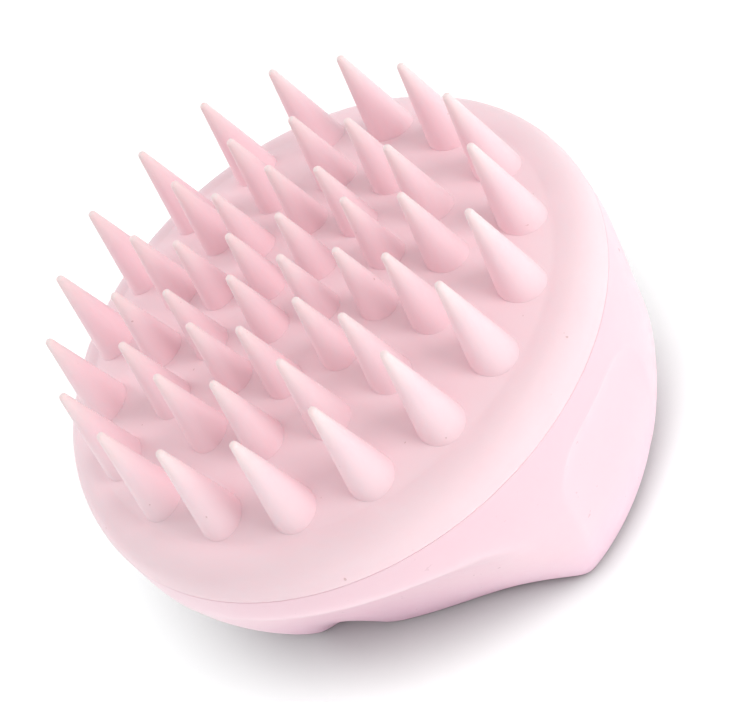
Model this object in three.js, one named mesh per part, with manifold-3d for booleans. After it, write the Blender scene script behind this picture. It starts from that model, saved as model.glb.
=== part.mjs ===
// Hand-held scalp massager brush: a hollow grip, a domed carrier screwed into it, and a
// silicone pad with four rings of conical bristles that pulls off the carrier for washing.
// Millimetres. +Z is the way the bristles point, X is the grip's long axis, and the origin
// is the centre of the grip's flat back.
import * as THREE from "three";
import { mergeVertices } from "three/addons/utils/BufferGeometryUtils.js";
import Module from "manifold-3d";

const wasm = await Module();
wasm.setup();

// ---- driving dimensions -------------------------------------------------------------
const FIT = 0.3; // gap left between pieces that touch
const SEAM_HEIGHT = 40; // parting line between grip and pad, above the back
const TIP_HEIGHT = 63; // plane that all the bristle tips share
const RIM_RADIUS = 42.3; // grip and pad at the parting line

// Grip: round ends that curve in towards the back, and two tapered sides.
const BACK_END_RADIUS = 30.2;
const END_CURVE_POWER = 2.63;
const BACK_HALF_WIDTH = 22;
const SIDE_SLOPE = 0.4;
const SIDE_FLARE = 39;
const SIDE_FLARE_POWER = 8;
const SECTION_POWER_TOP = 12; // sharpness of the corner between an end and a side
const SECTION_POWER_BACK = 50;
const BACK_EDGE_ROUND = 1.2;
const WALL = 2.6;

// Finger scallops along the back edge of each side; the two sides match by a half turn.
const SCALLOP_HEIGHT = 18;
const SCALLOP_FADE = 3;
const SCALLOPS = [
  { depth: 3, offset: -17, width: 4.9 },
  { depth: 2.3, offset: 12.6, width: 12.7 },
];

// Four leaf-shaped finger dimples, one each side of both ends: crisp above, fading below.
const DIMPLE = {
  depth: 1.6,
  angle: 25,
  halfAngle: 17,
  top: SEAM_HEIGHT - 5,
  droop: 6,
  rise: 2.2,
  hold: 8,
  fade: 12,
};

// Pad: a shallow dome with a rounded rim.
const RIM_HEIGHT = 6;
const DOME_EDGE_RADIUS = 37;
const RIM_POWER = 2.4;
const DOME_CURVE = 0.00377; // drop per squared millimetre from the centre
const PAD_THICKNESS = 3.2;
const PAD_SKIRT_INNER = 39;
const PAD_SKIRT_STEP = { radius: 37.6, rise: 3, lip: 1.6 };

// Bristle rings: tip circle, base radius, how many, and the angle of the first one.
const RINGS = [
  { name: "outer", radius: 33, base: 3.4, count: 18, start: 91.3 },
  { name: "second", radius: 22.4, base: 3.13, count: 14, start: 80.65 },
  { name: "third", radius: 14, base: 2.85, count: 10, start: 87.2 },
  { name: "inner", radius: 5.5, base: 2.8, count: 4, start: 52.9 },
];
const TIP_ROUND = 0.6;
const PIVOT_LIFT = 2.5; // a bristle bends about a point this far above the pad
const SOCKET_GAP = 0.5;
const BRISTLE_SIDES = 10;

// Carrier, seal and screws.
const LEDGE_HEIGHT = 35.7;
const LEDGE_INNER = 36.5;
const RECESS_RADIUS = 38.9;
const SEAL_THICKNESS = 1;
const CARRIER_RADIUS = RECESS_RADIUS - FIT;
const CARRIER_THICKNESS = 2.4;
const CARRIER_FOOT = LEDGE_HEIGHT + SEAL_THICKNESS + 2 * FIT;
const CARRIER_SKIRT_INNER = 34.2;
const CARRIER_SKIRT_RISE = 3;
const CARRIER_EDGE_RISE = 1; // the carrier's edge above the parting line
const RIB = { thickness: 1.6, height: 14 };
const OVERLAP = 1; // how far pieces of one solid run into each other
const BOSS = { x: 23, y: 11, radius: 3.8, top: CARRIER_FOOT - FIT };
const WELL = { outer: 4.6, bore: 3.3, floor: 2.2, hole: 1.7 };
const SCREW = { head: 2.8, headHeight: 2, shank: 1.15, length: 14, point: 2, pilot: 1.5 };
const RECESS = { length: 3.5, width: 0.7, depth: 1 };

// How finely the round pieces are cut.
const SCREW_SIDES = 12;
const GRIP_SIDES = 80;
const PAD_SIDES = 48;
const SOCKET_BANDS = 6;
const BACK_EDGE_TURNS = [0, 30, 60];
const OUTSIDE_HEIGHTS = [BACK_EDGE_ROUND, 4, 8, 12, 16, 21, 25, 28.5, 31.5, 33.5, 35, 37];
const INSIDE_HEIGHTS = [30, 23, 16, 9, WALL];
const PAD_UNDER_RADII = [0, 12, 22, 30, 35];
const PAD_OVER_RADII = [DOME_EDGE_RADIUS, 30, 22, 12, 0];
const PAD_RIM_TURNS = [25, 50, 72];
const CARRIER_UNDER_RADII = [0, 12, 22, 31];
const CARRIER_OVER_RADII = [DOME_EDGE_RADIUS - 2, 30, 20, 10, 0];

// ---- materials ----------------------------------------------------------------------
const MATERIALS = {
  grip: new THREE.MeshStandardMaterial({ color: 0xf7dbe4, roughness: 0.34, metalness: 0 }),
  silicone: new THREE.MeshStandardMaterial({ color: 0xf6c9cd, roughness: 0.55, metalness: 0 }),
  carrier: new THREE.MeshStandardMaterial({ color: 0xf2e6e6, roughness: 0.5, metalness: 0 }),
  seal: new THREE.MeshStandardMaterial({ color: 0xe8e4e2, roughness: 0.7, metalness: 0 }),
  steel: new THREE.MeshStandardMaterial({ color: 0xb9bcc0, roughness: 0.35, metalness: 1 }),
};

// ---- mesh helpers -------------------------------------------------------------------
function welded(geometry) {
  const bare = geometry.index ? geometry : mergeVertices(geometry);
  bare.deleteAttribute("normal");
  bare.deleteAttribute("uv");
  return mergeVertices(bare, 1e-4);
}

function signedVolume(positions, index) {
  const a = new THREE.Vector3();
  const b = new THREE.Vector3();
  const c = new THREE.Vector3();
  let volume = 0;
  for (let i = 0; i < index.length; i += 3) {
    a.fromArray(positions, 3 * index[i]);
    b.fromArray(positions, 3 * index[i + 1]);
    c.fromArray(positions, 3 * index[i + 2]);
    volume += a.dot(b.cross(c)) / 6;
  }
  return volume;
}

function toSolid(geometry) {
  const mesh = welded(geometry);
  const positions = mesh.attributes.position.array;
  const triangles = [];
  const index = mesh.index.array;
  for (let i = 0; i < index.length; i += 3) {
    const [a, b, c] = [index[i], index[i + 1], index[i + 2]];
    if (a !== b && b !== c && c !== a) {
      triangles.push(a, b, c);
    }
  }
  if (signedVolume(positions, triangles) < 0) {
    triangles.reverse();
  }
  return new wasm.Manifold(
    new wasm.Mesh({
      numProp: 3,
      vertProperties: Float32Array.from(positions),
      triVerts: Uint32Array.from(triangles),
    }),
  );
}

function toGeometry(solid) {
  const mesh = solid.getMesh();
  const geometry = new THREE.BufferGeometry();
  geometry.setAttribute("position", new THREE.BufferAttribute(mesh.vertProperties, 3));
  geometry.setIndex(new THREE.BufferAttribute(mesh.triVerts, 1));
  geometry.computeVertexNormals();
  return geometry;
}

// A solid of revolution about Z from [radius, height] points.
function turned(points, sides) {
  const profile = points.map(([radius, height]) => new THREE.Vector2(radius, height));
  return toSolid(new THREE.LatheGeometry(profile, sides).rotateX(Math.PI / 2));
}

// A closed skin over a stack of rings, which starts and ends at a single point.
function lofted(rings) {
  const positions = [];
  const starts = [];
  for (const ring of rings) {
    starts.push(positions.length / 3);
    ring.forEach((point) => positions.push(point.x, point.y, point.z));
  }
  const index = [];
  for (let r = 0; r + 1 < rings.length; r += 1) {
    const sides = Math.max(rings[r].length, rings[r + 1].length);
    for (let s = 0; s < sides; s += 1) {
      const next = (s + 1) % sides;
      const low = starts[r] + (rings[r].length === 1 ? 0 : s);
      const lowNext = starts[r] + (rings[r].length === 1 ? 0 : next);
      const high = starts[r + 1] + (rings[r + 1].length === 1 ? 0 : s);
      const highNext = starts[r + 1] + (rings[r + 1].length === 1 ? 0 : next);
      if (low !== lowNext) {
        index.push(low, lowNext, highNext);
      }
      if (high !== highNext) {
        index.push(low, highNext, high);
      }
    }
  }
  const geometry = new THREE.BufferGeometry();
  geometry.setAttribute("position", new THREE.Float32BufferAttribute(positions, 3));
  geometry.setIndex(index);
  return toSolid(geometry);
}

function column(radius, low, high, sides, x, y) {
  const cylinder = new THREE.CylinderGeometry(radius, radius, high - low, sides);
  cylinder.rotateX(Math.PI / 2).translate(x, y, (low + high) / 2);
  return toSolid(cylinder);
}

function block(width, depth, height, x, y, z) {
  return toSolid(new THREE.BoxGeometry(width, depth, height).translate(x, y, z));
}

function named(name, solid, material) {
  const mesh = new THREE.Mesh(toGeometry(solid), material);
  mesh.name = name;
  return mesh;
}

function mirroredPlaces(x, y) {
  return [
    [x, y],
    [-x, y],
    [-x, -y],
    [x, -y],
  ];
}

// ---- grip ---------------------------------------------------------------------------
function endRadius(height) {
  const fall = Math.max(0, 1 - height / SEAM_HEIGHT);
  return RIM_RADIUS - (RIM_RADIUS - BACK_END_RADIUS) * fall ** END_CURVE_POWER;
}

// Half width of the grip at a height; x runs the same way along both sides.
function sideHalfWidth(height, x) {
  const flare = SIDE_FLARE * (height / SEAM_HEIGHT) ** SIDE_FLARE_POWER;
  const reach = Math.max(0, 1 - height / SCALLOP_HEIGHT) ** SCALLOP_FADE;
  let width = BACK_HALF_WIDTH + SIDE_SLOPE * height + flare;
  for (const { depth, offset, width: spread } of SCALLOPS) {
    width -= depth * reach * Math.exp(-(((x - offset) / spread) ** 2));
  }
  return width;
}

function dimpleDepth(angle, height) {
  const offAxis = THREE.MathUtils.radToDeg(Math.asin(Math.abs(Math.sin(angle))));
  const across = (offAxis - DIMPLE.angle) / DIMPLE.halfAngle;
  const below = DIMPLE.top - DIMPLE.droop * across ** 4 - height;
  if (Math.abs(across) >= 1 || below <= 0) {
    return 0;
  }
  const window = (1 - across ** 2) ** 0.75;
  const rise = 1 - Math.exp(-below / DIMPLE.rise);
  const fade = Math.exp(-((Math.max(0, below - DIMPLE.hold) / DIMPLE.fade) ** 2));
  return DIMPLE.depth * window * rise * fade;
}

function gripRadius(angle, height) {
  const end = endRadius(height);
  const sine = Math.max(1e-3, Math.abs(Math.sin(angle)));
  const along = -Math.sign(Math.sin(angle)) * Math.cos(angle);
  const fall = 1 - height / SEAM_HEIGHT;
  const power = SECTION_POWER_TOP + (SECTION_POWER_BACK - SECTION_POWER_TOP) * fall ** 2;
  let radius = end;
  for (let pass = 0; pass < 3; pass += 1) {
    const side = sideHalfWidth(height, radius * along) / sine;
    radius = (end ** -power + side ** -power) ** (-1 / power);
  }
  return radius - dimpleDepth(angle, height);
}

function gripRing(height, radiusAt) {
  const ring = [];
  for (let s = 0; s < GRIP_SIDES; s += 1) {
    const angle = (2 * Math.PI * s) / GRIP_SIDES;
    const radius = radiusAt(angle, height);
    ring.push(new THREE.Vector3(radius * Math.cos(angle), radius * Math.sin(angle), height));
  }
  return ring;
}

function gripShell() {
  const top = SEAM_HEIGHT - FIT / 2;
  const rings = [[new THREE.Vector3(0, 0, 0)]];
  for (const turn of BACK_EDGE_TURNS) {
    const angle = THREE.MathUtils.degToRad(turn);
    const inset = BACK_EDGE_ROUND * (1 - Math.sin(angle));
    const height = BACK_EDGE_ROUND * (1 - Math.cos(angle));
    rings.push(gripRing(height, (a, h) => gripRadius(a, h) - inset));
  }
  for (const height of [...OUTSIDE_HEIGHTS, top]) {
    rings.push(gripRing(height, gripRadius));
  }
  rings.push(gripRing(top, () => RECESS_RADIUS));
  rings.push(gripRing(LEDGE_HEIGHT, () => RECESS_RADIUS));
  rings.push(gripRing(LEDGE_HEIGHT, () => LEDGE_INNER));
  for (const height of INSIDE_HEIGHTS) {
    rings.push(gripRing(height, (a, h) => Math.min(LEDGE_INNER, gripRadius(a, h) - WALL)));
  }
  rings.push([new THREE.Vector3(0, 0, WALL)]);
  let shell = lofted(rings);
  for (const [x, y] of mirroredPlaces(BOSS.x, BOSS.y)) {
    shell = shell.add(column(BOSS.radius, WALL - OVERLAP, BOSS.top, SCREW_SIDES, x, y));
  }
  const ribMiddle = WALL - OVERLAP + RIB.height / 2;
  for (const side of [-1, 1]) {
    const long = block(2 * BOSS.x, RIB.thickness, RIB.height, 0, side * BOSS.y, ribMiddle);
    const cross = block(RIB.thickness, 2 * BOSS.y, RIB.height, side * BOSS.x, 0, ribMiddle);
    shell = shell.add(long).add(cross);
  }
  const pilotEnd = BOSS.top - SCREW.length - SCREW.point;
  for (const [x, y] of mirroredPlaces(BOSS.x, BOSS.y)) {
    shell = shell.subtract(column(SCREW.pilot, pilotEnd, BOSS.top + OVERLAP, SCREW_SIDES, x, y));
  }
  return shell;
}

// ---- seal, carrier and screws -------------------------------------------------------
function sealRing() {
  const low = LEDGE_HEIGHT + FIT;
  const inner = LEDGE_INNER + FIT;
  const outer = CARRIER_RADIUS;
  return turned(
    [
      [inner, low],
      [outer, low],
      [outer, low + SEAL_THICKNESS],
      [inner, low + SEAL_THICKNESS],
      [inner, low],
    ],
    GRIP_SIDES,
  );
}

function domeHeight(radius) {
  return SEAM_HEIGHT + RIM_HEIGHT + DOME_CURVE * (DOME_EDGE_RADIUS ** 2 - radius ** 2);
}

function carrierPlate() {
  const lift = -PAD_THICKNESS - FIT;
  const under = CARRIER_UNDER_RADII.map((r) => [r, domeHeight(r) + lift - CARRIER_THICKNESS]);
  const over = CARRIER_OVER_RADII.map((r) => [r, domeHeight(r) + lift]);
  let plate = turned(
    [
      ...under,
      [CARRIER_SKIRT_INNER, CARRIER_FOOT + CARRIER_SKIRT_RISE],
      [CARRIER_SKIRT_INNER, CARRIER_FOOT],
      [CARRIER_RADIUS, CARRIER_FOOT],
      [CARRIER_RADIUS, SEAM_HEIGHT + CARRIER_EDGE_RISE],
      ...over,
    ],
    PAD_SIDES,
  );
  const wellReach = Math.hypot(BOSS.x, BOSS.y) + WELL.outer;
  const wellTop = domeHeight(wellReach) + lift - FIT;
  const headSeat = CARRIER_FOOT + WELL.floor;
  const holeLow = CARRIER_FOOT - OVERLAP;
  for (const [x, y] of mirroredPlaces(BOSS.x, BOSS.y)) {
    plate = plate.add(column(WELL.outer, CARRIER_FOOT, wellTop, SCREW_SIDES, x, y));
  }
  for (const [x, y] of mirroredPlaces(BOSS.x, BOSS.y)) {
    plate = plate.subtract(column(WELL.bore, headSeat, TIP_HEIGHT, SCREW_SIDES, x, y));
    plate = plate.subtract(column(WELL.hole, holeLow, headSeat + OVERLAP, SCREW_SIDES, x, y));
  }
  return plate;
}

// A pan-head screw with a cross recess, its tip pointing down.
function screw(x, y) {
  const seat = CARRIER_FOOT + WELL.floor + FIT;
  const top = seat + SCREW.headHeight;
  const body = turned(
    [
      [0, seat - SCREW.length],
      [SCREW.shank, seat - SCREW.length + SCREW.point],
      [SCREW.shank, seat],
      [SCREW.head, seat],
      [SCREW.head, seat + SCREW.headHeight * 0.55],
      [SCREW.head * 0.6, top],
      [0, top],
    ],
    SCREW_SIDES,
  );
  const recessed = body
    .subtract(block(RECESS.length, RECESS.width, 2 * RECESS.depth, 0, 0, top))
    .subtract(block(RECESS.width, RECESS.length, 2 * RECESS.depth, 0, 0, top));
  return recessed.translate([x, y, 0]);
}

// ---- pad and bristles ---------------------------------------------------------------
function padProfile() {
  const bottom = SEAM_HEIGHT + FIT / 2;
  const points = [];
  for (const radius of PAD_UNDER_RADII) {
    points.push([radius, domeHeight(radius) - PAD_THICKNESS]);
  }
  points.push([PAD_SKIRT_STEP.radius, SEAM_HEIGHT + PAD_SKIRT_STEP.rise]);
  points.push([PAD_SKIRT_INNER, SEAM_HEIGHT + PAD_SKIRT_STEP.lip]);
  points.push([PAD_SKIRT_INNER, bottom]);
  points.push([RIM_RADIUS, bottom]);
  for (const turn of PAD_RIM_TURNS) {
    const angle = THREE.MathUtils.degToRad(turn);
    const out = Math.cos(angle) ** (2 / RIM_POWER);
    const up = Math.sin(angle) ** (2 / RIM_POWER);
    const radius = DOME_EDGE_RADIUS + (RIM_RADIUS - DOME_EDGE_RADIUS) * out;
    points.push([radius, SEAM_HEIGHT + RIM_HEIGHT * up]);
  }
  for (const radius of PAD_OVER_RADII) {
    points.push([radius, domeHeight(radius)]);
  }
  return points;
}

function bristlePlaces() {
  const places = [];
  for (const ring of RINGS) {
    for (let i = 0; i < ring.count; i += 1) {
      const angle = THREE.MathUtils.degToRad(ring.start - (360 * i) / ring.count);
      places.push({
        name: `bristle_${ring.name}_${String(i + 1).padStart(2, "0")}`,
        x: ring.radius * Math.cos(angle),
        y: ring.radius * Math.sin(angle),
        surface: domeHeight(ring.radius),
        base: ring.base,
      });
    }
  }
  return places;
}

function rootRadius(base) {
  return Math.hypot(base, PIVOT_LIFT);
}

function bristlePad() {
  let pad = turned(padProfile(), PAD_SIDES);
  for (const place of bristlePlaces()) {
    const reach = rootRadius(place.base) + SOCKET_GAP;
    const ball = new THREE.SphereGeometry(reach, BRISTLE_SIDES, SOCKET_BANDS);
    ball.rotateX(Math.PI / 2).translate(place.x, place.y, place.surface + PIVOT_LIFT);
    pad = pad.subtract(toSolid(ball));
  }
  return pad;
}

// A cone with a rounded tip and a ball-shaped root that is centred on its bending point.
function bristle(place) {
  const ball = rootRadius(place.base);
  const pivot = place.surface + PIVOT_LIFT;
  const points = [[0, pivot - ball]];
  const side = Math.atan2(place.base, PIVOT_LIFT);
  for (const share of [0.5, 1]) {
    points.push([ball * Math.sin(side * share), pivot - ball * Math.cos(side * share)]);
  }
  const slope = Math.atan2(place.base - TIP_ROUND, TIP_HEIGHT - place.surface);
  const centre = TIP_HEIGHT - TIP_ROUND;
  points.push([TIP_ROUND * Math.cos(slope), centre + TIP_ROUND * Math.sin(slope)]);
  points.push([0, TIP_HEIGHT]);
  return turned(points, BRISTLE_SIDES).translate([place.x, place.y, 0]);
}

// ---- assembly -----------------------------------------------------------------------
const brush = new THREE.Group();
brush.add(named("grip_shell", gripShell(), MATERIALS.grip));
brush.add(named("seal_ring", sealRing(), MATERIALS.seal));
brush.add(named("carrier_plate", carrierPlate(), MATERIALS.carrier));
mirroredPlaces(BOSS.x, BOSS.y).forEach(([x, y], i) => {
  brush.add(named(`carrier_screw_${i + 1}`, screw(x, y), MATERIALS.steel));
});
brush.add(named("bristle_pad", bristlePad(), MATERIALS.silicone));
for (const place of bristlePlaces()) {
  brush.add(named(place.name, bristle(place), MATERIALS.silicone));
}

export default brush;
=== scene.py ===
"""Scalp massager brush: surfaces, materials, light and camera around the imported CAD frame."""

import math

import bmesh
import bpy
import numpy as np
from mathutils import Matrix, Vector


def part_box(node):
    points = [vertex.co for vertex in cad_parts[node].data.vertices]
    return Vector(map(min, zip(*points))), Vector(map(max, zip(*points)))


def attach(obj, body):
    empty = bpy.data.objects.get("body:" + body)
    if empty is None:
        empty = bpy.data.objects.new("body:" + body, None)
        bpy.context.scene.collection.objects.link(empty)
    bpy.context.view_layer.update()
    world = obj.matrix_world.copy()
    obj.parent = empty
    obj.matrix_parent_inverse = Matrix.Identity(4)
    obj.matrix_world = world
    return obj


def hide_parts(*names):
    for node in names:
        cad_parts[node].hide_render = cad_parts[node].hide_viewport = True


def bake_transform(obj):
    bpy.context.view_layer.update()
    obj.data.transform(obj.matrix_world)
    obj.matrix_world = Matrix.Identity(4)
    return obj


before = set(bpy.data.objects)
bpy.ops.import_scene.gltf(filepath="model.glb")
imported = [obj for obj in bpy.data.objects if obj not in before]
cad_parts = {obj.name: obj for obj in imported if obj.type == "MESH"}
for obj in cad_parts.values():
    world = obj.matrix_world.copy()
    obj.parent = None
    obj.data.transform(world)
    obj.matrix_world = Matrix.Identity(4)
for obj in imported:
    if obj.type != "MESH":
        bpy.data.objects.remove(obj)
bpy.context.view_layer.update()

MM = 0.001
SEAM_Z = round((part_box("grip_shell")[1].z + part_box("bristle_pad")[0].z) / 2 / MM, 3)
TIP_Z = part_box("bristle_outer_01")[1].z / MM
RIM_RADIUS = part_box("bristle_pad")[1].x / MM
SEAM_GAP = 0.03

# ---- camera, in millimetres and degrees ---------------------------------------------
CAMERA_TARGET = (4.1, -1.2, 37.5)
CAMERA_AZIMUTH = 34.18
CAMERA_ELEVATION = 42.9
CAMERA_ROLL = -39.91
CAMERA_DISTANCE = 340.0
CAMERA_LENS = 117.95


def make_camera():
    azimuth = math.radians(CAMERA_AZIMUTH)
    elevation = math.radians(CAMERA_ELEVATION)
    back = Vector(
        (
            math.sin(azimuth) * math.cos(elevation),
            -math.cos(azimuth) * math.cos(elevation),
            math.sin(elevation),
        )
    )
    data = bpy.data.cameras.new("camera")
    data.lens = CAMERA_LENS
    data.sensor_width = 36.0
    camera = bpy.data.objects.new("camera", data)
    bpy.context.scene.collection.objects.link(camera)
    level = (-back).to_track_quat("-Z", "Y").to_matrix()
    turn = Matrix.Rotation(math.radians(CAMERA_ROLL), 3, "Z")
    place = Matrix.Translation((Vector(CAMERA_TARGET) + CAMERA_DISTANCE * back) * MM)
    camera.matrix_world = place @ (level @ turn).to_4x4()
    data.clip_start = 0.01
    data.clip_end = 20.0
    bpy.context.scene.camera = camera


make_camera()


# ---- mesh helpers -------------------------------------------------------------------
def add_object(name, verts, faces, material, smooth=True):
    """A mesh object from millimetre points."""
    mesh = bpy.data.meshes.new(name)
    mesh.from_pydata([tuple(v) for v in np.asarray(verts) * MM], [], faces)
    mesh.validate()
    mesh.shade_smooth() if smooth else mesh.shade_flat()
    mesh.materials.append(material)
    piece = bpy.data.objects.new(name, mesh)
    bpy.context.scene.collection.objects.link(piece)
    return piece


def loft(rings):
    """Points and quads through rings of equal length; a ring of one point closes an end."""
    verts = []
    starts = []
    for ring in rings:
        starts.append(len(verts))
        verts.extend(np.atleast_2d(ring))
    faces = []
    for low, high, a, b in zip(rings, rings[1:], starts, starts[1:]):
        sides = max(len(np.atleast_2d(low)), len(np.atleast_2d(high)))
        for s in range(sides):
            t = (s + 1) % sides
            if len(np.atleast_2d(low)) == 1:
                faces.append((a, b + t, b + s))
            elif len(np.atleast_2d(high)) == 1:
                faces.append((a + s, a + t, b))
            else:
                faces.append((a + s, a + t, b + t, b + s))
    return verts, faces


def turned_rings(profile, sides, centre=(0.0, 0.0)):
    """Rings of a solid of revolution from (radius, height) points; one on the axis stays single."""
    angles = np.arange(sides) * 2 * math.pi / sides
    rings = []
    for radius, height in profile:
        if radius < 1e-6:
            rings.append([(centre[0], centre[1], height)])
            continue
        x = centre[0] + radius * np.cos(angles)
        y = centre[1] + radius * np.sin(angles)
        rings.append(np.column_stack((x, y, np.full(sides, height))))
    return rings


def arc(centre, radius, start, end, steps):
    """(radius, height) points along an arc, in degrees."""
    turns = np.radians(np.linspace(start, end, steps))
    return [(centre[0] + radius * math.cos(t), centre[1] + radius * math.sin(t)) for t in turns]


# ---- material helpers ---------------------------------------------------------------
class Nodes:
    """A small builder for one material's node tree."""

    def __init__(self, name):
        self.material = bpy.data.materials.new(name)
        self.material.use_nodes = True
        self.tree = self.material.node_tree
        self.shader = self.tree.nodes["Principled BSDF"]

    def add(self, kind, **values):
        node = self.tree.nodes.new(kind)
        for key, value in values.items():
            setattr(node, key, value)
        return node

    def link(self, source, target):
        self.tree.links.new(source, target)

    def set(self, **values):
        for key, value in values.items():
            self.shader.inputs[key.replace("_", " ")].default_value = value

    def noise(self, coordinates, scale, detail=3.0, roughness=0.5):
        node = self.add("ShaderNodeTexNoise")
        node.inputs["Scale"].default_value = scale
        node.inputs["Detail"].default_value = detail
        node.inputs["Roughness"].default_value = roughness
        self.link(coordinates, node.inputs["Vector"])
        return node.outputs["Fac"]

    def ramp(self, factor, *stops):
        node = self.add("ShaderNodeValToRGB")
        elements = node.color_ramp.elements
        while len(elements) < len(stops):
            elements.new(0.5)
        for element, (position, colour) in zip(elements, stops):
            element.position = position
            element.color = (*colour, 1.0)
        self.link(factor, node.inputs["Fac"])
        return node.outputs["Color"]

    def mix(self, factor, a, b, blend_type="MIX"):
        node = self.add("ShaderNodeMix", data_type="RGBA", blend_type=blend_type)
        for value, socket in ((factor, node.inputs[0]), (a, node.inputs[6]), (b, node.inputs[7])):
            if isinstance(value, bpy.types.NodeSocket):
                self.link(value, socket)
            elif isinstance(value, tuple):
                socket.default_value = (*value, 1.0)
            else:
                socket.default_value = value
        return node.outputs[2]

    def range(self, factor, low, high, source=(0.3, 0.7)):
        node = self.add("ShaderNodeMapRange")
        node.inputs["From Min"].default_value = source[0]
        node.inputs["From Max"].default_value = source[1]
        node.inputs["To Min"].default_value = low
        node.inputs["To Max"].default_value = high
        self.link(factor, node.inputs["Value"])
        return node.outputs["Result"]

    def bump(self, height, strength, distance, normal=None):
        node = self.add("ShaderNodeBump")
        node.inputs["Strength"].default_value = strength
        node.inputs["Distance"].default_value = distance
        self.link(height, node.inputs["Height"])
        if normal is not None:
            self.link(normal, node.inputs["Normal"])
        return node.outputs["Normal"]


SILICONE = (0.975, 0.735, 0.78)
SILICONE_DEEP = (0.97, 0.71, 0.76)
# painted glow: a paler colour for bristle tips, standing in for light through the thin silicone
SILICONE_TIP_GLOW = (0.98, 0.8, 0.8)
GRIP = (0.91, 0.635, 0.705)
GRIP_DEEP = (0.91, 0.61, 0.69)
# painted shade: a darker, more magenta grip colour for the lowest part of the grip
GRIP_BASE_SHADE = (0.87, 0.545, 0.69)
GRIP_BASE_SHADE_HEIGHT = 0.018


def silicone(name, painted_tip_glow):
    """Soft translucent silicone with a fine moulded grain; on bristles the thin tip is painted
    paler, a painted glow of light through the thin silicone.
    """
    n = Nodes(name)
    coordinates = n.add("ShaderNodeTexCoord")
    position = coordinates.outputs["Object"]
    broad = n.noise(position, 60.0, 3.0)
    colour = n.ramp(broad, (0.3, SILICONE_DEEP), (0.7, SILICONE))
    if painted_tip_glow:
        # painted glow: the upper part of each bristle is mixed paler, as if light shone through the
        # thin tip
        height = n.add("ShaderNodeSeparateXYZ")
        n.link(coordinates.outputs["Generated"], height.inputs[0])
        share = n.range(height.outputs["Z"], 0.0, 1.0, (0.6, 1.0))
        colour = n.mix(share, colour, SILICONE_TIP_GLOW)
    fine = n.noise(position, 2600.0, 2.0)
    specks = n.noise(position, 900.0, 1.0)
    spot = n.range(specks, 0.0, 1.0, (0.805, 0.83))
    colour = n.mix(spot, colour, (0.78, 0.53, 0.55))
    n.link(colour, n.shader.inputs["Base Color"])
    n.link(n.range(n.noise(position, 180.0), 0.46, 0.58), n.shader.inputs["Roughness"])
    grain = n.bump(fine, 0.12, 0.00004)
    n.link(n.bump(broad, 0.25, 0.0004, grain), n.shader.inputs["Normal"])
    n.set(Subsurface_Weight=0.25, Subsurface_Scale=0.0004, Subsurface_Radius=(1.0, 0.42, 0.45))
    n.set(Subsurface_Anisotropy=0.0, IOR=1.41, Specular_IOR_Level=0.22)
    n.set(Sheen_Weight=0.08, Sheen_Roughness=0.5)
    return n.material


def grip_plastic():
    """Satin moulded ABS: faint flow variation, a fine skin texture, light handling scuffs and
    painted shade darkening the base.
    """
    n = Nodes("grip_plastic")
    coordinates = n.add("ShaderNodeTexCoord")
    position = coordinates.outputs["Object"]
    flow = n.noise(position, 28.0, 4.0, 0.55)
    colour = n.ramp(flow, (0.3, GRIP_DEEP), (0.7, GRIP))
    height = n.add("ShaderNodeSeparateXYZ")
    n.link(position, height.inputs[0])
    # painted shade: the grip colour is mixed darker and more magenta towards its base
    share = n.range(height.outputs["Z"], 1.0, 0.0, (0.0, GRIP_BASE_SHADE_HEIGHT))
    n.link(n.mix(share, colour, GRIP_BASE_SHADE), n.shader.inputs["Base Color"])
    scuffs = n.noise(position, 420.0, 6.0, 0.65)
    n.link(n.range(scuffs, 0.27, 0.4), n.shader.inputs["Roughness"])
    skin = n.bump(n.noise(position, 3200.0, 2.0), 0.08, 0.00003)
    n.link(n.bump(flow, 0.2, 0.0003, skin), n.shader.inputs["Normal"])
    n.set(Subsurface_Weight=0.15, Subsurface_Scale=0.001, Subsurface_Radius=(1.0, 0.5, 0.6))
    n.set(IOR=1.5, Specular_IOR_Level=0.5, Coat_Weight=0.12, Coat_Roughness=0.22)
    return n.material


PAD_MATERIAL = silicone("pad_silicone", False)
BRISTLE_MATERIAL = silicone("bristle_silicone", True)
GRIP_MATERIAL = grip_plastic()


# ---- grip ---------------------------------------------------------------------------
BACK_END_RADIUS = 30.2
END_CURVE_POWER = 2.63
BACK_HALF_WIDTH = 22.0
SIDE_SLOPE = 0.4
SIDE_FLARE = 39.0
SIDE_FLARE_POWER = 8
SECTION_POWER_TOP = 12
SECTION_POWER_BACK = 50
BACK_EDGE_ROUND = 1.2
WALL = 2.6
SCALLOP_HEIGHT = 18.0
SCALLOP_FADE = 3
SCALLOPS = ((3.0, -17.0, 4.9), (2.3, 12.6, 12.7))  # depth, offset, width
DIMPLE_DEPTH = 1.6
DIMPLE_ANGLE = 25.0
DIMPLE_HALF_ANGLE = 17.0
DIMPLE_TOP = SEAM_Z - 5.0
DIMPLE_DROOP = 6.0
DIMPLE_RISE = 2.2
DIMPLE_HOLD = 8.0
DIMPLE_FADE = 12.0
RIM_ROUND = 0.12
RECESS_RADIUS = 38.9
RECESS_CHAMFER = 0.3
LEDGE_Z = 35.7
LEDGE_INNER = 36.5
BOTTOM_SHARES = (0.2, 0.45, 0.7, 0.88)
GRIP_SIDES = 480


def dimple_depth(angle, height):
    off_axis = np.degrees(np.arcsin(np.clip(np.abs(np.sin(angle)), 0, 1)))
    across = (off_axis - DIMPLE_ANGLE) / DIMPLE_HALF_ANGLE
    below = DIMPLE_TOP - DIMPLE_DROOP * across**4 - height
    window = np.clip(1 - across**2, 0, 1) ** 0.75
    rise = 1 - np.exp(-np.maximum(below, 0) / DIMPLE_RISE)
    fade = np.exp(-((np.maximum(0, below - DIMPLE_HOLD) / DIMPLE_FADE) ** 2))
    return np.where(below > 0, DIMPLE_DEPTH * window * rise * fade, 0.0)


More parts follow.
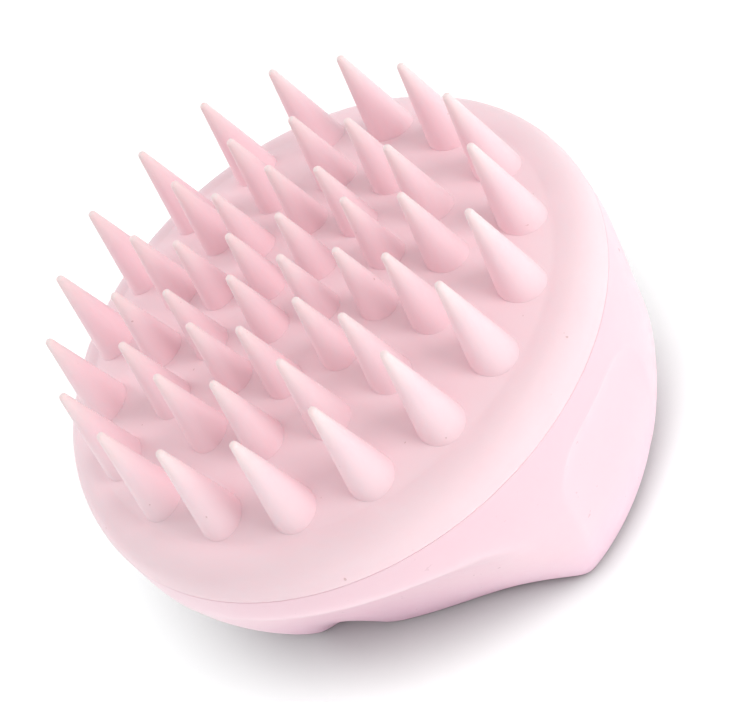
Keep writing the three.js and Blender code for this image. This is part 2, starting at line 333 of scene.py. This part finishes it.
def grip_radius(angle, height):
    rise = height / SEAM_Z
    end = RIM_RADIUS - (RIM_RADIUS - BACK_END_RADIUS) * max(0.0, 1 - rise) ** END_CURVE_POWER
    plain = BACK_HALF_WIDTH + SIDE_SLOPE * height + SIDE_FLARE * rise**SIDE_FLARE_POWER
    reach = max(0.0, 1 - height / SCALLOP_HEIGHT) ** SCALLOP_FADE
    power = SECTION_POWER_TOP + (SECTION_POWER_BACK - SECTION_POWER_TOP) * (1 - rise) ** 2
    sine = np.maximum(1e-3, np.abs(np.sin(angle)))
    along = -np.sign(np.sin(angle)) * np.cos(angle)
    radius = np.full_like(angle, end)
    for _ in range(3):
        side = plain
        for depth, offset, spread in SCALLOPS:
            side = side - depth * reach * np.exp(-(((radius * along - offset) / spread) ** 2))
        radius = (end**-power + (side / sine) ** -power) ** (-1 / power)
    return radius - dimple_depth(angle, height)


def grip_ring(height, inset=0.0, limit=None):
    angle = np.arange(GRIP_SIDES) * 2 * math.pi / GRIP_SIDES
    radius = grip_radius(angle, height) - inset
    if limit is not None:
        radius = np.minimum(radius, limit)
    level = np.full(GRIP_SIDES, height)
    return np.column_stack((radius * np.cos(angle), radius * np.sin(angle), level))


def grip_body():
    top = SEAM_Z - SEAM_GAP / 2
    rings = [[(0.0, 0.0, 0.0)]]
    for share in BOTTOM_SHARES:
        ring = grip_ring(0.0, BACK_EDGE_ROUND)
        rings.append(ring * (share, share, 1))
    for turn in np.radians(np.linspace(0, 90, 9)):
        inset = BACK_EDGE_ROUND * (1 - math.sin(turn))
        rings.append(grip_ring(BACK_EDGE_ROUND * (1 - math.cos(turn)), inset))
    for height in np.linspace(BACK_EDGE_ROUND, top - RIM_ROUND, 130)[1:]:
        rings.append(grip_ring(height))
    for turn in np.radians(np.linspace(0, 90, 6)[1:]):
        height = top - RIM_ROUND + RIM_ROUND * math.sin(turn)
        rings.append(grip_ring(height, RIM_ROUND * (1 - math.cos(turn))))
    recess = [(RECESS_RADIUS + RECESS_CHAMFER, top), (RECESS_RADIUS, top - RECESS_CHAMFER)]
    recess += [(RECESS_RADIUS, LEDGE_Z), (LEDGE_INNER, LEDGE_Z)]
    rings += turned_rings(recess, GRIP_SIDES)
    for height in np.linspace(LEDGE_Z - 3, WALL, 24):
        rings.append(grip_ring(height, WALL, LEDGE_INNER))
    rings.append([(0.0, 0.0, WALL)])
    verts, faces = loft(rings)
    piece = add_object("grip_body", verts, faces, GRIP_MATERIAL)
    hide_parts("grip_shell")
    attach(piece, "grip")


grip_body()


# ---- pad ----------------------------------------------------------------------------
RIM_HEIGHT = 6.0
DOME_EDGE_RADIUS = 37.0
RIM_POWER = 2.4
DOME_CURVE = 0.00377
PAD_THICKNESS = 3.2
SKIRT_INNER = 39.0
LIP_HEIGHT = 1.2
LIP_PROUD = 0.08
LIP_BLEND = 0.12
PAD_SIDES = 360


def dome_z(radius):
    return SEAM_Z + RIM_HEIGHT + DOME_CURVE * (DOME_EDGE_RADIUS**2 - radius**2)


def pad_profile():
    bottom = SEAM_Z + SEAM_GAP / 2
    points = [(r, dome_z(r) - PAD_THICKNESS) for r in np.linspace(0, 35, 22)]
    points += [(37.6, SEAM_Z + 3), (SKIRT_INNER, SEAM_Z + 1.6), (SKIRT_INNER, bottom + 0.2)]
    points += [(SKIRT_INNER + 0.2, bottom)]
    edge = RIM_RADIUS - LIP_PROUD
    points += [(edge, bottom), (edge + LIP_PROUD * 0.8, bottom + 0.1), (RIM_RADIUS, bottom + 0.3)]
    for turn in np.radians(np.linspace(4, 90, 44)):
        out = math.cos(turn) ** (2 / RIM_POWER)
        up = math.sin(turn) ** (2 / RIM_POWER)
        radius = DOME_EDGE_RADIUS + (RIM_RADIUS - DOME_EDGE_RADIUS) * out
        height = SEAM_Z + RIM_HEIGHT * up
        if height < bottom + 0.4:
            continue
        step = LIP_PROUD / (1 + math.exp(-(height - SEAM_Z - LIP_HEIGHT) / LIP_BLEND))
        points.append((radius - step, height))
    points += [(r, dome_z(r)) for r in np.linspace(DOME_EDGE_RADIUS - 0.6, 0, 60)]
    return points


def pad_skin():
    verts, faces = loft(turned_rings(pad_profile(), PAD_SIDES))
    piece = add_object("pad_skin", verts, faces, PAD_MATERIAL)
    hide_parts("bristle_pad")
    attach(piece, "pad")


pad_skin()


# ---- bristles -----------------------------------------------------------------------
BRISTLE_SIDES = 40
BASE_RADIUS = {"outer": 3.4, "second": 3.13, "third": 2.85, "inner": 2.8}
TIP_ROUND = 0.62
ROOT_DEPTH = 1.8


def bristle(name):
    low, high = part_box(name)
    x, y = (low.x + high.x) / 2 / MM, (low.y + high.y) / 2 / MM
    surface = dome_z(math.hypot(x, y))
    base = BASE_RADIUS[name.split("_")[1]]
    slope = math.atan2(base - TIP_ROUND, TIP_Z - surface)
    centre = (0.0, TIP_Z - TIP_ROUND)
    tip = arc(centre, TIP_ROUND, math.degrees(slope), 90, 9)
    grow = base + ROOT_DEPTH * math.tan(slope)
    wall = [(grow, surface - ROOT_DEPTH)]
    for share in np.linspace(0, 1, 26)[1:-1]:
        radius = grow + (tip[0][0] - grow) * share
        wall.append((radius, surface - ROOT_DEPTH + (tip[0][1] - surface + ROOT_DEPTH) * share))
    profile = [(0.0, surface - ROOT_DEPTH)] + wall + tip[:-1] + [(0.0, TIP_Z)]
    verts, faces = loft(turned_rings(profile, BRISTLE_SIDES, (x, y)))
    piece = add_object(name.replace("bristle", "cone"), verts, faces, BRISTLE_MATERIAL)
    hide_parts(name)
    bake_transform(piece)


for node in sorted(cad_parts):
    if node.startswith("bristle_") and node != "bristle_pad":
        bristle(node)


# ---- carrier, seal and screws -------------------------------------------------------
def plain_plastic():
    n = Nodes("carrier_plastic")
    position = n.add("ShaderNodeTexCoord").outputs["Object"]
    flow = n.noise(position, 35.0, 4.0)
    colour = n.ramp(flow, (0.3, (0.8, 0.72, 0.73)), (0.7, (0.88, 0.81, 0.81)))
    n.link(colour, n.shader.inputs["Base Color"])
    n.link(n.range(n.noise(position, 300.0, 5.0), 0.38, 0.55), n.shader.inputs["Roughness"])
    n.link(n.bump(n.noise(position, 2500.0), 0.1, 0.00004), n.shader.inputs["Normal"])
    n.set(Subsurface_Weight=0.15, Subsurface_Scale=0.002)
    return n.material


def seal_silicone():
    n = Nodes("seal_silicone")
    position = n.add("ShaderNodeTexCoord").outputs["Object"]
    n.link(
        n.ramp(n.noise(position, 80.0), (0.3, (0.74, 0.71, 0.7)), (0.7, (0.83, 0.8, 0.79))),
        n.shader.inputs["Base Color"],
    )
    n.link(n.range(n.noise(position, 200.0), 0.5, 0.65), n.shader.inputs["Roughness"])
    n.link(n.bump(n.noise(position, 2200.0), 0.15, 0.00004), n.shader.inputs["Normal"])
    n.set(Subsurface_Weight=0.4, Subsurface_Scale=0.003)
    return n.material


def zinc_steel():
    n = Nodes("screw_steel")
    position = n.add("ShaderNodeTexCoord").outputs["Object"]
    n.link(
        n.ramp(n.noise(position, 400.0, 5.0), (0.3, (0.52, 0.53, 0.55)), (0.7, (0.72, 0.73, 0.75))),
        n.shader.inputs["Base Color"],
    )
    n.link(n.range(n.noise(position, 900.0, 5.0), 0.22, 0.42), n.shader.inputs["Roughness"])
    n.link(n.bump(n.noise(position, 3000.0), 0.2, 0.00003), n.shader.inputs["Normal"])
    n.set(Metallic=1.0)
    return n.material


def refinish(node, material):
    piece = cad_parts[node]
    piece.data.materials.clear()
    piece.data.materials.append(material)


FIT = 0.3
CARRIER_RADIUS = RECESS_RADIUS - FIT
CARRIER_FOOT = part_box("carrier_plate")[0].z / MM
CARRIER_SKIRT_INNER = 34.2
CARRIER_THICKNESS = 2.4
CARRIER_EDGE_RISE = 1.0
WELL_OUTER = 4.6
WELL_BORE = 3.3
WELL_FLOOR = 2.2
WELL_HOLE = 1.7
BODY_OVERLAP = 0.01
SCREW_HEAD = 2.8
SCREW_HEAD_HEIGHT = 2.0
SCREW_HEAD_EDGE = 0.4
SCREW_HEAD_CHAMFER = 0.1
SCREW_CROWN_TURNS = (0, 20, 40, 55, 70, 80)
SCREW_TAPER = 2.5
SCREW_SHANK = 1.15
THREAD_PITCH = 0.9
THREAD_DEPTH = 0.3
RECESS_LENGTH = 3.5
RECESS_WIDTH = 0.7
RECESS_BOX_HEIGHT = 2.0
SCREW_SIDES = 48
CARRIER_SIDES = 192


def screw_places():
    for index in range(1, 5):
        name = "carrier_screw_" + str(index)
        low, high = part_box(name)
        yield name, (low.x + high.x) / 2 / MM, (low.y + high.y) / 2 / MM, low.z / MM, high.z / MM


def tool_of(parts):
    """One closed cutting body from several separate ones."""
    verts, faces = [], []
    for more_verts, more_faces in parts:
        start = len(verts)
        verts.extend(tuple(v) for v in more_verts)
        faces.extend(tuple(start + i for i in face) for face in more_faces)
    return add_object("tool", verts, faces, GRIP_MATERIAL)


def outward(piece):
    shape = bmesh.new()
    shape.from_mesh(piece.data)
    bmesh.ops.recalc_face_normals(shape, faces=shape.faces)
    shape.to_mesh(piece.data)
    shape.free()


def combine(piece, tool, operation):
    """Join or cut with another body, which is used up."""
    outward(piece)
    outward(tool)
    modifier = piece.modifiers.new("combine", "BOOLEAN")
    modifier.object = tool
    modifier.operation = operation
    modifier.solver = "EXACT"
    graph = bpy.context.evaluated_depsgraph_get()
    result = bpy.data.meshes.new_from_object(piece.evaluated_get(graph))
    piece.modifiers.clear()
    piece.data = result
    bpy.data.objects.remove(tool)


def crisp(piece, degrees=35):
    piece.data.shade_smooth()
    piece.data.set_sharp_from_angle(angle=math.radians(degrees))


def stand_in_for(piece, node, body):
    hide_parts(node)
    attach(piece, body)


def carrier_disc():
    lift = -PAD_THICKNESS - FIT
    edge = DOME_EDGE_RADIUS - 2
    profile = [(r, dome_z(r) + lift - CARRIER_THICKNESS) for r in np.linspace(0, 31, 18)]
    profile += [(CARRIER_SKIRT_INNER, CARRIER_FOOT + 3), (CARRIER_SKIRT_INNER, CARRIER_FOOT)]
    profile += [(CARRIER_RADIUS, CARRIER_FOOT), (CARRIER_RADIUS, SEAM_Z + CARRIER_EDGE_RISE)]
    profile += [(r, dome_z(r) + lift) for r in np.linspace(edge, 0, 36)]
    verts, faces = loft(turned_rings(profile, CARRIER_SIDES))
    piece = add_object("carrier_disc", verts, faces, plain_plastic())
    seat = CARRIER_FOOT + WELL_FLOOR
    wells, bores = [], []
    for _, x, y, _, _ in screw_places():
        top = dome_z(math.hypot(x, y) + WELL_OUTER) + lift - FIT
        low = CARRIER_FOOT + BODY_OVERLAP
        well = [(0, low), (WELL_OUTER, low), (WELL_OUTER, top), (0, top)]
        low = CARRIER_FOOT - 1
        bore = [(0, low), (WELL_HOLE, low), (WELL_HOLE, seat)]
        bore += [(WELL_BORE, seat), (WELL_BORE, TIP_Z), (0, TIP_Z)]
        wells.append(loft(turned_rings(well, SCREW_SIDES, (x, y))))
        bores.append(loft(turned_rings(bore, SCREW_SIDES, (x, y))))
    combine(piece, tool_of(wells), "UNION")
    combine(piece, tool_of(bores), "DIFFERENCE")
    crisp(piece)
    stand_in_for(piece, "carrier_plate", "grip")


def box_part(x, y, z, width, depth, height):
    """Corners and faces of a box about a middle point."""
    corners = [
        (x + i * width / 2, y + j * depth / 2, z + k * height / 2)
        for i in (-1, 1)
        for j in (-1, 1)
        for k in (-1, 1)
    ]
    faces = [(0, 1, 3, 2), (4, 6, 7, 5), (0, 4, 5, 1), (2, 3, 7, 6), (0, 2, 6, 4), (1, 5, 7, 3)]
    return corners, faces


def screw_profile(low, high):
    """(radius, height) points from the tip up the thread and over the pan head."""
    seat = high - SCREW_HEAD_HEIGHT
    core = SCREW_SHANK - THREAD_DEPTH
    profile = [(0, low), (0.25, low + 0.1)]
    for turn in range(int((seat - low - SCREW_TAPER) / THREAD_PITCH)):
        z = low + 0.6 + turn * THREAD_PITCH
        taper = min(1.0, (z - low) / SCREW_TAPER)
        profile += [(core * taper, z), (SCREW_SHANK * taper, z + THREAD_PITCH / 3)]
    profile += [(core, seat - 1.6), (SCREW_SHANK, seat - 1.2), (SCREW_SHANK, seat)]
    profile += [(SCREW_HEAD - SCREW_HEAD_CHAMFER, seat), (SCREW_HEAD, seat + SCREW_HEAD_CHAMFER)]
    crown = SCREW_HEAD_HEIGHT - SCREW_HEAD_EDGE
    for turn in np.radians(SCREW_CROWN_TURNS):
        radius = SCREW_HEAD * math.cos(turn) ** 0.5
        profile.append((radius, seat + SCREW_HEAD_EDGE + crown * math.sin(turn)))
    return profile + [(0, high)]


def screws():
    steel = zinc_steel()
    for name, x, y, low, high in screw_places():
        verts, faces = loft(turned_rings(screw_profile(low, high), SCREW_SIDES, (x, y)))
        piece = add_object(name.replace("carrier_screw", "pan_screw"), verts, faces, steel)
        for width, depth in ((RECESS_LENGTH, RECESS_WIDTH), (RECESS_WIDTH, RECESS_LENGTH)):
            slot = box_part(x, y, high, width, depth, RECESS_BOX_HEIGHT)
            combine(piece, tool_of([slot]), "DIFFERENCE")
        crisp(piece)
        stand_in_for(piece, name, "grip")


carrier_disc()
screws()
refinish("seal_ring", seal_silicone())


# ---- floor in millimetres, lights in metres -----------------------------------------
FLOOR_REACH = 4000.0
FLOOR_Z = -0.05
WORLD_STRENGTH = 0.66
LIGHT_TARGET = (0.0, 0.0, 0.035)
FLOOR_SUN_STRENGTH = 5.7
FLOOR_SUN_ANGLE = 32
FLOOR_SUN_DIRECTION = (-0.2, 0.26, -0.74)


def make_floor():
    n = Nodes("floor_paper")
    position = n.add("ShaderNodeTexCoord").outputs["Object"]
    n.link(
        n.ramp(n.noise(position, 4.0), (0.3, (0.43, 0.44, 0.44)), (0.7, (0.45, 0.46, 0.46))),
        n.shader.inputs["Base Color"],
    )
    n.set(Roughness=0.9, Specular_IOR_Level=0.1)
    sides = ((-1, -1), (1, -1), (1, 1), (-1, 1))
    corners = [(i * FLOOR_REACH, j * FLOOR_REACH, FLOOR_Z) for i, j in sides]
    floor = add_object("floor", corners, [(0, 1, 2, 3)], n.material, smooth=False)
    return floor


def area_light(name, place, size, power, colour=(1.0, 1.0, 1.0)):
    data = bpy.data.lights.new(name, "AREA")
    data.shape = "DISK"
    data.size = size
    data.energy = power
    data.color = colour
    light = bpy.data.objects.new(name, data)
    light.location = place
    aim = Vector(LIGHT_TARGET) - Vector(place)
    light.rotation_mode = "QUATERNION"
    light.rotation_quaternion = aim.to_track_quat("-Z", "Y")
    bpy.context.scene.collection.objects.link(light)


def light_floor(floor):
    """A soft sun that reaches the floor alone, so the paper is white and the shadow soft."""
    sun = bpy.data.lights.new("paper", "SUN")
    sun.energy = FLOOR_SUN_STRENGTH
    sun.angle = math.radians(FLOOR_SUN_ANGLE)
    paper = bpy.data.objects.new("paper", sun)
    paper.rotation_mode = "QUATERNION"
    paper.rotation_quaternion = Vector(FLOOR_SUN_DIRECTION).to_track_quat("-Z", "Y")
    bpy.context.scene.collection.objects.link(paper)
    only_floor = bpy.data.collections.new("paper_receivers")
    only_floor.objects.link(floor)
    paper.light_linking.receiver_collection = only_floor


def make_light(floor):
    world = bpy.data.worlds.new("studio")
    world.use_nodes = True
    background = world.node_tree.nodes["Background"]
    background.inputs["Color"].default_value = (1.0, 1.0, 1.0, 1.0)
    background.inputs["Strength"].default_value = WORLD_STRENGTH
    bpy.context.scene.world = world
    area_light("key", (0.66, -0.12, 0.56), 0.4, 2.35, (1.0, 0.985, 0.97))
    area_light("edge", (-0.55, 0.25, 0.3), 0.3, 1.0)
    light_floor(floor)


make_light(make_floor())
bpy.context.scene.view_settings.view_transform = "Standard"
